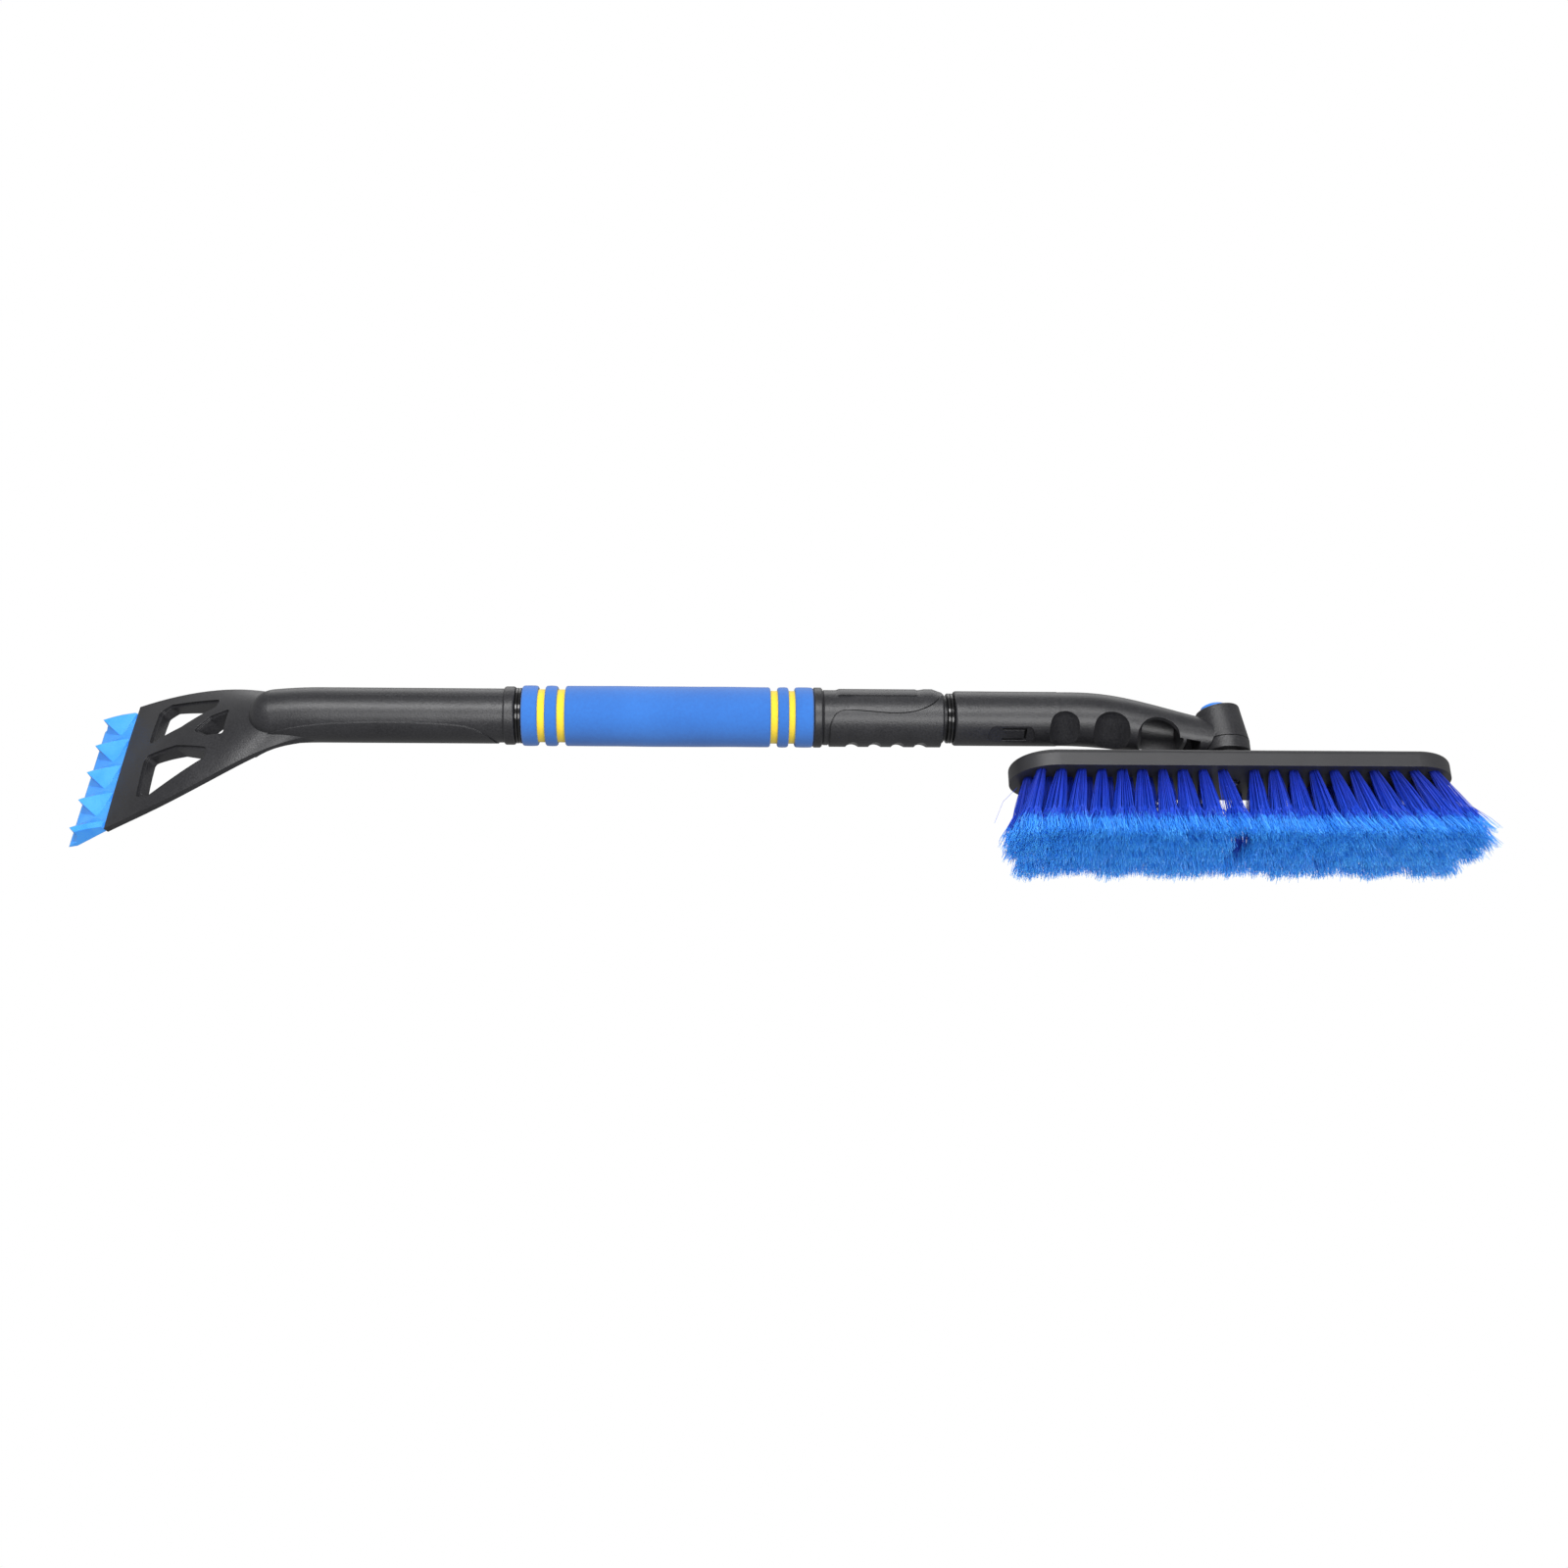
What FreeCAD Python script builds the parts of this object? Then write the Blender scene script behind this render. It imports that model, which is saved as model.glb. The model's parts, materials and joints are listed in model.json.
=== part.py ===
import FreeCAD, Part
import math
import os

# A telescopic snow brush with an ice scraper: a fan-shaped scraper on one end, a twist-lock pole with a foam
# grip, and a brush head on a push-button swivel at the other end.
#
# Frame, in millimetres: the origin is the point of the bristles' working face straight below the swivel axis.
# +X runs along the pole away from the scraper, +Z is up, away from the bristles.

V = FreeCAD.Vector
X = V(1, 0, 0)
Y = V(0, 1, 0)
Z = V(0, 0, 1)

# ---- driving dimensions -------------------------------------------------------------------------------------

POLE_Z = 84.0            # height of the pole's axis over the bristles' working face

# pole
OUTER_TUBE_R = 14.0
OUTER_TUBE_WALL = 0.95
OUTER_TUBE_X = (-468.5, -166.0)
INNER_TUBE_R = 12.5
INNER_TUBE_WALL = 1.0
INNER_TUBE_X = (-425.0, -102.0)
RUNNING_GAP = 0.06       # radial clearance of parts that slide or turn in each other

# scraper handle and head
HANDLE_R = 15.3
HANDLE_X1 = -404.2       # open end of the handle's socket
END_BEAD_W = 6.3
END_BEAD_R = 16.5
SOCKET_DEPTH = 66.0
HANDLE_SCREW_BACK = 44.0   # from the socket's mouth
BEND_X = -570.0          # where the pole's axis meets the plane of the head
HEAD_BEND = 34.0         # degrees between the pole and the head
HEAD_ROLL = 70.0         # degrees that the scraper section is twisted against the brush, about the pole
BEND_TANGENT = 58.0      # length of each straight that the neck's arc uses up
HEAD_LENGTH = 76.5       # bend point to the front edge of the fan
CRADLE_R = 15.9          # raised lower skin of the neck
NOSE_ANGLE = 8.0         # degrees of the neck's arc at which its round nose starts
SEAM_WIDTH = 0.7         # engraved line around the raised skins
SEAM_DEPTH = 0.8
FUSE_TOLERANCE = 0.01

# fan: distance along the centre line from the bend point, crown above it, edge below it, half width, depth
FAN_STATIONS = (
    (-54.0, 8.0, 2.0, 14.2, 3.4),
    (-40.0, 7.5, 2.5, 17.0, 3.4),
    (-17.5, 5.0, 3.0, 24.8, 3.4),
    (3.5, 2.8, 4.2, 33.0, 10.0),
    (32.0, 1.8, 4.7, 41.4, 9.0),
    (56.0, 0.9, 2.8, 46.0, 7.0),
    (76.5, 0.3, 0.3, 48.6, 5.8),
)
FAN_SKIN = 3.2
FAN_LIP = 5.5            # how far the ribs under the fan stay back from its edge

# blade
BLADE_REACH = 31.0       # how far the cutting edge stands out of the fan
BLADE_HALF_WIDTH = 45.5
BLADE_TOP = -1.8         # the blade's upper face below the fan's upper face
BLADE_T = 2.6
BLADE_TANG = 9.0
TANG_HALF_WIDTH = 36.0
BARB_B = 26.0            # the two barbs that hold the tang, from the middle
BARB_BACK = 5.0
BARB_R = 1.8
TOOTH_PITCH = 21.5
TOOTH_COUNT = 5
TOOTH_FLANK = 10.4       # half width of a tooth's base

# foam grip
FOAM_R = 17.1
FOAM_GROOVE_R = 15.0
FOAM_X = (-400.4, -236.4)
FOAM_ROUND = 1.1
REAR_BANDS = ((-400.4, -391.4), (-387.4, -380.5))      # wide band, narrow band
MAIN_FOAM = (-376.2, -260.6)
FRONT_BANDS = ((-246.8, -236.4), (-256.6, -250.3))

# lock grip
GRIP_X = (-236.4, -162.0)
GRIP_BEAD_W = 5.2
GRIP_BEAD_R = 17.1
GRIP_R = 15.7
GRIP_PANEL_R = 16.6
RIB_PITCH = 13.0
RIB_COUNT = 4
RIB_TURN = 20.0          # degrees that the finger ribs sit round from straight below, towards +Y

# brush arm
ARM_X0 = -156.3
ARM_R = 15.6
ARM_WALL = 2.6
SCOOPS = ((-94.2, 8.6, -7.6), (-67.8, 10.4, -9.0), (-41.0, 11.6, -12.6))     # x, half width, top above the axis
SNAP_ANGLE = -28.0       # degrees that the snap tongue sits round from straight below, towards -Y

# twist lock
PLUG_X0 = INNER_TUBE_X[0] - 16.0
PLUG_BOLT_R = 1.9

# swivel and lock button
BOSS_SEAM_Z = 69.1
BOSS_TOP_Z = 89.3        # middle of the boss's upper face
BOSS_TILT = 7.5          # degrees that the boss leans back towards the pole
BOSS_LOW_R = 13.6
BOSS_TOP_R = 12.6
BARREL_R = 8.2
BARREL_TOP_Z = 82.0
HUB_Z = (61.8, 68.8)
HUB_POST_R = 5.0
CAP_R = 6.8
CAP_TEETH_Z = (75.0, 77.0)
GEAR_TEETH = 12
GEAR_Z = (74.8, 77.2)    # at rest around the cap's teeth, and below them when the button is in
BUTTON_TRAVEL = 2.4
BUTTON_R = 8.4
BUTTON_X = -3.6          # the button's centre on the leaning boss
BUTTON_TOP_Z = 94.0
SPRING_R = 2.9
SPRING_Z = (77.1, 86.5)

# brush head
BOARD_LENGTH = 252.0
BOARD_WIDTH = 50.0
BOARD_Z = (44.6, 54.9)
BOARD_TOP_ROUND = 3.0
TUFT_R = 2.3
TUFT_HOLE_DEPTH = 7.0
TUFT_PITCH = 11.2
TUFT_ROWS = (-16.5, -5.5, 5.5, 16.5)
TUFTS_PER_BANK = 10
TUFT_FIRST = 9.0         # first tuft of the outer rows, from the swivel axis
FACE_HALF_LENGTH = 140.0
FACE_HALF_WIDTH = 36.0


# ---- helpers ------------------------------------------------------------------------------------------------

def rod(x0, x1, r):
    """A cylinder on the pole's axis."""
    return Part.makeCylinder(r, x1 - x0, V(x0, 0, POLE_Z), X)


def sleeve(x0, x1, r_out, r_in):
    return rod(x0, x1, r_out).cut(rod(x0 - 1, x1 + 1, r_in))


def post(z0, z1, r, x=0.0, y=0.0):
    """A cylinder parallel to the swivel axis."""
    return Part.makeCylinder(r, z1 - z0, V(x, y, z0), Z)


def ring(z0, z1, r_out, r_in):
    return post(z0, z1, r_out).cut(post(z0 - 1, z1 + 1, r_in))


def box(x0, x1, y0, y1, z0, z1):
    return Part.makeBox(x1 - x0, y1 - y0, z1 - z0, V(x0, y0, z0))


def turned(profile):
    """Revolves an outline of (x, radius) points about the pole's axis."""
    outline = [V(profile[0][0], 0, POLE_Z)]
    outline += [V(x, 0, POLE_Z + r) for x, r in profile]
    outline += [V(profile[-1][0], 0, POLE_Z)]
    face = Part.Face(Part.makePolygon(outline + outline[:1]))
    return face.revolve(V(0, 0, POLE_Z), X, 360)


def round_rims(shape, radius, stations, axis="x"):
    """Fillets the circular edges that lie at the given stations along an axis."""
    picked = []
    for edge in shape.Edges:
        if not hasattr(edge.Curve, "Radius"):
            continue
        c = edge.BoundBox
        low, high = (c.XMin, c.XMax) if axis == "x" else (c.ZMin, c.ZMax)
        if high - low < 0.01 and any(abs(low - s) < 0.01 for s in stations):
            picked.append(edge)
    return shape.makeFillet(radius, picked)


def prism(points, direction):
    """A solid drawn from a closed polygon along a direction."""
    face = Part.Face(Part.makePolygon(points + points[:1]))
    return face.extrude(direction)


def smooth(points):
    """A smooth open curve through points."""
    curve = Part.BSplineCurve()
    curve.interpolate(points)
    return curve.toShape()


def shifted(points, distance):
    """The points of a line in the XZ plane, moved sideways by a distance."""
    moved = []
    for i, point in enumerate(points):
        ahead = points[min(i + 1, len(points) - 1)] - points[max(i - 1, 0)]
        moved.append(point + V(-ahead.z, 0, ahead.x).normalize() * distance)
    return moved


def region_under(line, floor_z, y0, width):
    """Everything below a smooth line in side view, drawn across the object."""
    low_end = V(line[-1].x, 0, floor_z)
    low_start = V(line[0].x, 0, floor_z)
    edges = [
        smooth(line),
        Part.makeLine(line[-1], low_end),
        Part.makeLine(low_end, low_start),
        Part.makeLine(low_start, line[0]),
    ]
    face = Part.Face(Part.Wire(edges))
    face.translate(V(0, y0, 0))
    return face.extrude(V(0, width, 0))


def save(name, shape):
    clean = shape.removeSplitter() if hasattr(shape, "removeSplitter") else shape
    if not clean.isValid() or clean.Volume <= 0:
        clean = shape
    print(f"{name:22s} {clean.Volume / 1000:9.3f} cm3  solids {len(clean.Solids)}  valid {clean.isValid()}")
    clean.exportStep(f"parts/{name}.step")


# ---- scraper section ----------------------------------------------------------------------------------------
# The handle and blade are drawn unrolled, with the bend point as origin, the pole along +X and the head bent
# down in the XZ plane. place_head() then rolls them about the pole and puts them in the frame.

BEND = math.radians(HEAD_BEND)
ARC_R = BEND_TANGENT / math.tan(BEND / 2)
ALONG = V(-math.cos(BEND), 0, -math.sin(BEND))       # from the bend point towards the blade
UP = V(-math.sin(BEND), 0, math.cos(BEND))           # out of the fan's upper face


def place_head(shape):
    moved = shape.copy()
    moved.rotate(V(0, 0, 0), X, HEAD_ROLL)
    moved.translate(V(BEND_X, 0, POLE_Z))
    return moved


def on_head(a, b, n=0.0):
    """A point of the head: a from the bend point along the head, b sideways, n out of the upper face."""
    return ALONG * a + Y * b + UP * n


def neck_path_point(angle, drop=0.0):
    """A point of the neck's arc, at an angle from its start, drop below the centre line."""
    r = ARC_R - drop
    return V(BEND_TANGENT - r * math.sin(angle), 0, -ARC_R + r * math.cos(angle))


def neck_tube(radius, x_end, angle, round_nose):
    """The neck's round tube: straight, then along the arc, ending in a ball."""
    straight = Part.makeCylinder(radius, x_end - BEND_TANGENT, V(BEND_TANGENT, 0, 0), X)
    circle = Part.Face(Part.Wire(Part.makeCircle(radius, V(BEND_TANGENT, 0, 0), X)))
    bent = circle.revolve(V(BEND_TANGENT, 0, -ARC_R), Y, -math.degrees(angle))
    solid = straight.fuse(bent)
    if round_nose:
        solid = solid.fuse(Part.makeSphere(radius, neck_path_point(angle)))
    return solid


def fan_point(along, sideways, above):
    """A point of the fan: along its centre line from the bend point, sideways, and square out of the line."""
    if along >= BEND_TANGENT:
        return on_head(along, sideways, above)
    point = neck_path_point(BEND - (BEND_TANGENT - along) / ARC_R, -above)
    return V(point.x, sideways, point.z)


def fan_section(station, under, widen, depth):
    """A crowned section of the fan, its upper skin lowered by under and widened on both sides."""
    along, crown, edge, half, _ = station
    wide = half + widen
    drop = (crown + edge) * (wide / half) ** 2 - crown
    points = [(-wide, -drop - under), (0, crown - under), (wide, -drop - under)]
    left, middle, right = [fan_point(along, b, n) for b, n in points]
    low_left, low_middle, low_right = [fan_point(along, b, n - depth) for b, n in points]
    edges = [
        Part.Arc(left, middle, right).toShape(),
        Part.makeLine(right, low_right),
        Part.Arc(low_right, low_middle, low_left).toShape(),
        Part.makeLine(low_left, left),
    ]
    return Part.Wire(edges)


def fan_outline(inset):
    """Plan of the fan, seen square to its front, as a tall prism."""
    half = [(fan_point(s[0], 0, 0), s[3] - inset) for s in FAN_STATIONS[1:]]
    half[-1] = (half[-1][0] + ALONG * 2, half[-1][1])
    side = [on_head(p * ALONG, b, -60) for p, b in half]
    other = [on_head(p * ALONG, -b, -60) for p, b in half]
    edges = [
        smooth(side),
        Part.makeLine(side[-1], other[-1]),
        smooth(other[::-1]),
        Part.makeLine(other[0], side[0]),
    ]
    return Part.Face(Part.Wire(edges)).extrude(UP * 120)


HEAD_PLACEMENT = FreeCAD.Placement(
    FreeCAD.Matrix(
        ALONG.x, 0, UP.x, 0,
        0, -1, 0, 0,
        ALONG.z, 0, UP.z, 0,
        0, 0, 0, 1,
    )
)


def cutout(corners, corner_round, n0=-40, n1=40):
    """A tool for a rounded window in the fan, from its corners in plan."""
    points = [V(a, -b, n0) for a, b in corners]
    outline = Part.makePolygon(points + points[:1])
    rounded = outline.makeOffset2D(-corner_round, 2).makeOffset2D(corner_round, 0)
    solid = Part.Face(rounded).extrude(V(0, 0, n1 - n0))
    solid.Placement = HEAD_PLACEMENT
    return solid


def side_window(sign, grow):
    """Plan corners of one of the two large windows of the fan."""
    return [
        (54.0 + grow, sign * (6.2 - grow)),
        (55.0 + grow, sign * (32.0 + grow)),
        (49.5, sign * (35.0 + grow)),
        (13.5 - grow, sign * (21.6 + grow)),
        (12.5 - grow, sign * (18.0 - grow)),
        (32.0, sign * (9.0 - grow)),
    ]


def neck_window(grow):
    """Plan corners of the small teardrop window nearest to the neck."""
    return [
        (20.0 + grow, 0.0),
        (13.0, 6.0 + grow),
        (2.5 - grow, 8.2 + grow),
        (2.5 - grow, -8.2 - grow),
        (13.0, -6.0 - grow),
    ]


def windows(grow, corner, n0, n1):
    tools = [cutout(side_window(sign, grow), corner, n0, n1) for sign in (1, -1)]
    tools.append(cutout(neck_window(grow), corner * 0.7, n0, n1))
    return tools


def cradle_line(x_end):
    """Side view of the upper edge of the neck's raised lower skin."""
    return [
        V(x_end, 0, -16),
        V(x_end - 4, 0, -3),
        V(x_end - 11, 0, 3.2),
        V(x_end - 27, 0, 6.6),
        V(x_end - 50, 0, 7.6),
        V(x_end - 84, 0, 7.2),
        V(x_end - 108, 0, 5.0),
        V(x_end - 124, 0, 1.0),
        V(x_end - 136, 0, -6.0),
        V(x_end - 141, 0, -16),
    ]


def fan_body():
    """The fan: a crowned skin that flattens towards the blade, with a middle rib and collars under its windows."""
    whole = Part.makeLoft([fan_section(s, 0, 0, s[4]) for s in FAN_STATIONS], True, False)
    pocket = Part.makeLoft([fan_section(s, FAN_SKIN, 4.0, 30.0) for s in FAN_STATIONS[2:]], True, False)
    front = HEAD_LENGTH - BLADE_TANG - 4
    kept = [
        prism([on_head(a, b, -40) for a, b in ((front, -60), (120, -60), (120, 60), (front, 60))], UP * 80),
        prism([on_head(a, b, -40) for a, b in ((70, -0.9), (70, 0.9), (20, 0.9), (20, -0.9))], UP * 80),
    ]
    kept += windows(2.0, 3.0, -40, 40)
    inside = fan_outline(FAN_LIP)
    for region in kept:
        pocket = pocket.cut(region.common(inside))
    return whole.cut(pocket)


def blade_slot(clear):
    """The pocket in the fan's front edge, or the blade's tang without the clearance."""
    half = TANG_HALF_WIDTH + clear
    back = HEAD_LENGTH - BLADE_TANG - clear
    corners = [(HEAD_LENGTH + 2, -half), (HEAD_LENGTH + 2, half), (back, half), (back, -half)]
    top = BLADE_TOP + clear
    low = BLADE_TOP - BLADE_T - clear
    return prism([on_head(a, b, low) for a, b in corners], UP * (top - low))


def neck_seam(x_end):
    """The engraved line along the upper edge of the raised lower skin."""
    line = cradle_line(x_end)
    band = region_under(shifted(line, SEAM_WIDTH), -40, -30, 60).cut(region_under(line, -40, -30, 60))
    angle = math.radians(NOSE_ANGLE)
    shell = neck_tube(CRADLE_R + 1, x_end - END_BEAD_W, angle, True).cut(
        neck_tube(HANDLE_R - SEAM_DEPTH, x_end, angle, True)
    )
    return shell.common(band)


def scraper_handle():
    angle = math.radians(NOSE_ANGLE)
    x_end = HANDLE_X1 - BEND_X
    cradle_end = x_end - END_BEAD_W - 3.5
    tube = neck_tube(HANDLE_R, x_end, angle, True)
    cradle = neck_tube(CRADLE_R, x_end - END_BEAD_W, angle, True)
    cradle = cradle.common(region_under(cradle_line(cradle_end), -40, -30, 60))
    bead = Part.makeCylinder(END_BEAD_R, END_BEAD_W, V(x_end - END_BEAD_W, 0, 0), X)
    bead = round_rims(bead, 1.2, (x_end - END_BEAD_W, x_end))
    grip = tube.fuse([cradle, bead], FUSE_TOLERANCE).cut(neck_seam(cradle_end))
    solid = fan_body().fuse([grip], FUSE_TOLERANCE)
    for tool in windows(0.0, 2.2, -40, 40):
        solid = solid.cut(tool)
    for tool in window_steps():
        solid = solid.cut(tool)
    socket = Part.makeCylinder(OUTER_TUBE_R + 0.03, SOCKET_DEPTH, V(x_end - SOCKET_DEPTH, 0, 0), X)
    core = Part.makeCylinder(12.2, 40, V(x_end - SOCKET_DEPTH - 38, 0, 0), X)
    screw_hole = Part.makeCylinder(1.6, 12, V(x_end - HANDLE_SCREW_BACK, 0, -8), -Z)
    screw_seat = Part.makeCylinder(3.3, 6, V(x_end - HANDLE_SCREW_BACK, 0, -15.0), -Z)
    solid = solid.cut([socket, core, screw_hole, screw_seat])
    slot = blade_slot(0.08)
    for b in (-BARB_B, BARB_B):
        barb = on_head(HEAD_LENGTH - BARB_BACK, b, BLADE_TOP - BLADE_T - 0.5)
        slot = slot.cut(Part.makeCylinder(BARB_R, BLADE_T + 2, barb, UP))
    solid = solid.cut(slot)
    return place_head(max(solid.Solids, key=lambda s: s.Volume))


def window_steps():
    """Shallow steps around the windows, let into the crowned skin."""
    above_skin = Part.makeLoft([fan_section(s, 1.3, 6.0, -30.0) for s in FAN_STATIONS[2:]], True, False)
    return [tool.common(above_skin) for tool in windows(1.8, 3.4, -40, 40)]


def tooth(b):
    """One ice-breaking tooth: a ridge that rises from the fan to a beak, with flanks down to the plate."""
    base = BLADE_TOP - 0.6
    start = HEAD_LENGTH
    ridge = [
        on_head(start + 0.4, b, base),
        on_head(start + 0.4, b, 0.6),
        on_head(start + 10.0, b, 4.4),
        on_head(start + 17.0, b, 6.4),
        on_head(start + 21.0, b, 7.3),
        on_head(start + 22.4, b, 2.4),
        on_head(start + BLADE_REACH - 2.0, b, base),
    ]
    left = on_head(start + 13.0, b - TOOTH_FLANK, base)
    right = on_head(start + 13.0, b + TOOTH_FLANK, base)
    outlines = [[ridge[0], left, ridge[-1], right]]
    for first, second in zip(ridge, ridge[1:]):
        outlines.append([first, second, left])
        outlines.append([first, right, second])
    faces = [Part.Face(Part.makePolygon(outline + outline[:1])) for outline in outlines]
    return Part.Solid(Part.Shell(faces))


def scraper_blade():
    """A plate with a bevelled cutting edge, a tang in the fan and a row of teeth."""
    low = BLADE_TOP - BLADE_T
    profile = [
        on_head(HEAD_LENGTH + 0.2, 0, low),
        on_head(HEAD_LENGTH + 0.2, 0, BLADE_TOP),
        on_head(HEAD_LENGTH + BLADE_REACH - 1.5, 0, BLADE_TOP),
        on_head(HEAD_LENGTH + BLADE_REACH, 0, BLADE_TOP - 0.7),
        on_head(HEAD_LENGTH + BLADE_REACH - 5, 0, low),
    ]
    span = [HEAD_LENGTH, HEAD_LENGTH + BLADE_REACH]
    corners = [(span[0], -1), (span[1], -1), (span[1], 1), (span[0], 1)]
    width = prism([on_head(a, side * BLADE_HALF_WIDTH, -20) for a, side in corners], UP * 40)
    solid = prism([p + Y * -BLADE_HALF_WIDTH for p in profile], Y * (2 * BLADE_HALF_WIDTH))
    solid = solid.fuse(blade_slot(0.0))
    for i in range(TOOTH_COUNT):
        solid = solid.fuse(tooth((i - (TOOTH_COUNT - 1) / 2) * TOOTH_PITCH).common(width))
    for b in (-BARB_B, BARB_B):
        solid = solid.cut(Part.makeCylinder(BARB_R + 0.15, 9, on_head(HEAD_LENGTH - BARB_BACK, b, -8), UP))
    return place_head(solid)


def handle_screw():
    """A self-tapping screw through the handle's socket into the outer tube, on the underside."""
    x = HANDLE_X1 - BEND_X - HANDLE_SCREW_BACK
    shank = Part.makeCylinder(1.5, 5.8, V(x, 0, -9.4), -Z)
    head = Part.makeCylinder(3.0, 1.6, V(x, 0, -15.05), -Z)
    cross = Part.makeBox(3.6, 0.8, 1.0, V(x - 1.8, -0.4, -17.0))
    cross = cross.fuse(Part.makeBox(0.8, 3.6, 1.0, V(x - 0.4, -1.8, -17.0)))
    return place_head(shank.fuse(head).cut(cross))


def outer_tube():
    x0, x1 = OUTER_TUBE_X
    tube = sleeve(x0, x1, OUTER_TUBE_R, OUTER_TUBE_R - OUTER_TUBE_WALL)
    hole = Part.makeCylinder(1.55, 12, V(HANDLE_X1 - BEND_X - HANDLE_SCREW_BACK, 0, -8), -Z)
    grip_hole = Part.makeCylinder(1.55, 8, V(GRIP_X[0] + 20, 10, POLE_Z), Y)
    return tube.cut([place_head(hole), grip_hole])


def outer_tube_plug():
    """Closes the tube inside the handle."""
    x0 = OUTER_TUBE_X[0]
    flange = rod(x0 - 1.5, x0, OUTER_TUBE_R - 0.3)
    spigot = sleeve(x0 - 1.5, x0 + 12, OUTER_TUBE_R - OUTER_TUBE_WALL - 0.05, 10.5)
    return flange.fuse(spigot).fuse(rod(x0 - 1.5, x0 + 1, 11))


def foam_stop_ring():
    """A double bead between the handle and the foam."""
    x0, x1 = HANDLE_X1 + 0.15, FOAM_X[0] - 0.1
    middle = (x0 + x1) / 2
    outline = [(x0, 14.9), (x0 + 0.4, 15.7), (middle - 0.35, 15.7), (middle, 15.1), (middle + 0.35, 15.7)]
    outline += [(x1 - 0.4, 15.7), (x1, 14.9)]
    return turned(outline).cut(rod(x0 - 1, x1 + 1, OUTER_TUBE_R + 0.03))


def foam_core():
    """The yellow foam sleeve under the blue bands."""
    return sleeve(FOAM_X[0], FOAM_X[1], FOAM_GROOVE_R, OUTER_TUBE_R)


def foam_band(span):
    x0, x1 = span
    band = rod(x0, x1, FOAM_R)
    band = round_rims(band, FOAM_ROUND, (x0, x1))
    return band.cut(rod(x0 - 1, x1 + 1, FOAM_GROOVE_R))


def grip_line(x0, x1):
    """Side view of the upper edge of the lock grip's finger panel."""
    z = POLE_Z
    return [
        V(x0, 0, z - 17),
        V(x0 + 0.8, 0, z - 9),
        V(x0 + 4.5, 0, z - 4.2),
        V(x0 + 12, 0, z - 3.0),
        V(x1 - 14, 0, z - 3.0),
        V(x1 - 6, 0, z + 0.6),
        V(x1, 0, z + 8.0),
    ]


def lock_grip():
    """The twist-lock's grip on the mouth of the outer tube: bead, thumb pad, finger ribs and end ring."""
    x0, x1 = GRIP_X
    bead_end = x0 + GRIP_BEAD_W
    body = turned(
        [
            (x0, GRIP_BEAD_R - 0.8),
            (x0 + 0.8, GRIP_BEAD_R),
            (bead_end - 0.8, GRIP_BEAD_R),
            (bead_end, GRIP_BEAD_R - 0.8),
            (bead_end + 0.3, GRIP_R - 0.5),
            (bead_end + 0.9, GRIP_R),
            (x0 + 20, GRIP_R),
            (x0 + 24, GRIP_R + 0.35),
            (x1 - 14, GRIP_R + 0.35),
            (x1 - 11, GRIP_R + 0.9),
            (x1 - 6.5, GRIP_R + 0.9),
            (x1 - 4, GRIP_R),
            (x1 - 1, GRIP_R - 1.0),
            (x1, GRIP_R - 2.2),
            (x1, 0.1),
        ]
    )
    pad = turned([(x0 + 13, GRIP_R), (x0 + 15, 16.45), (x1 - 16, 16.45), (x1 - 14.5, GRIP_R)])
    pad = pad.common(box(x0, x1, -30, 30, POLE_Z + 7.5, POLE_Z + 30))
    line = grip_line(x0 + 9.5, x1 - 1.6)
    region = region_under(line, 40, -20, 40)
    panel = rod(x0 + 9.5, x1 - 1.6, GRIP_PANEL_R).common(region)
    seam = region_under(shifted(line, SEAM_WIDTH), 40, -20, 40).cut(region)
    seam = seam.common(sleeve(x0 + 8, x1 - 1, 20, GRIP_R - 0.35))
    solid = body.fuse([pad, panel]).cut(seam)
    for i in range(RIB_COUNT):
        x = x0 + 22.5 + i * RIB_PITCH
        notch = Part.makeCylinder(4.6, 40, V(x, -20, POLE_Z - GRIP_PANEL_R - 2.6), Y)
        notch.rotate(V(0, 0, POLE_Z), X, RIB_TURN)
        solid = solid.cut(notch)
    bore = rod(x0 - 1, OUTER_TUBE_X[1], OUTER_TUBE_R + 0.03)
    mouth = rod(x0, x1 + 1, INNER_TUBE_R + RUNNING_GAP + 1.3)
    screw_hole = Part.makeCylinder(1.6, 12, V(x0 + 20, 8, POLE_Z), Y)
    screw_seat = Part.makeCylinder(2.9, 6, V(x0 + 20, 14.9, POLE_Z), Y)
    return solid.cut([bore, mouth, screw_hole, screw_seat])


def grip_screw():
    x = GRIP_X[0] + 20
    shank = Part.makeCylinder(1.5, 1.9, V(x, 13.1, POLE_Z), Y)
    head = Part.makeCylinder(2.7, 0.9, V(x, 14.95, POLE_Z), Y)
    slot = box(x - 2, x + 2, 15.45, 16.5, POLE_Z - 0.35, POLE_Z + 0.35)
    return shank.fuse(head).cut(slot)


def guide_bush():
    """Plain bearing for the inner tube in the grip's mouth."""
    x0, x1 = OUTER_TUBE_X[1], GRIP_X[1]
    flange = rod(x0, x1, INNER_TUBE_R + RUNNING_GAP + 1.25)
    spigot = rod(x0 - 14, x0, OUTER_TUBE_R - OUTER_TUBE_WALL - 0.02)
    return flange.fuse(spigot).cut(rod(x0 - 15, x1 + 1, INNER_TUBE_R + RUNNING_GAP))


# ---- sliding and twisting section ---------------------------------------------------------------------------

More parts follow.
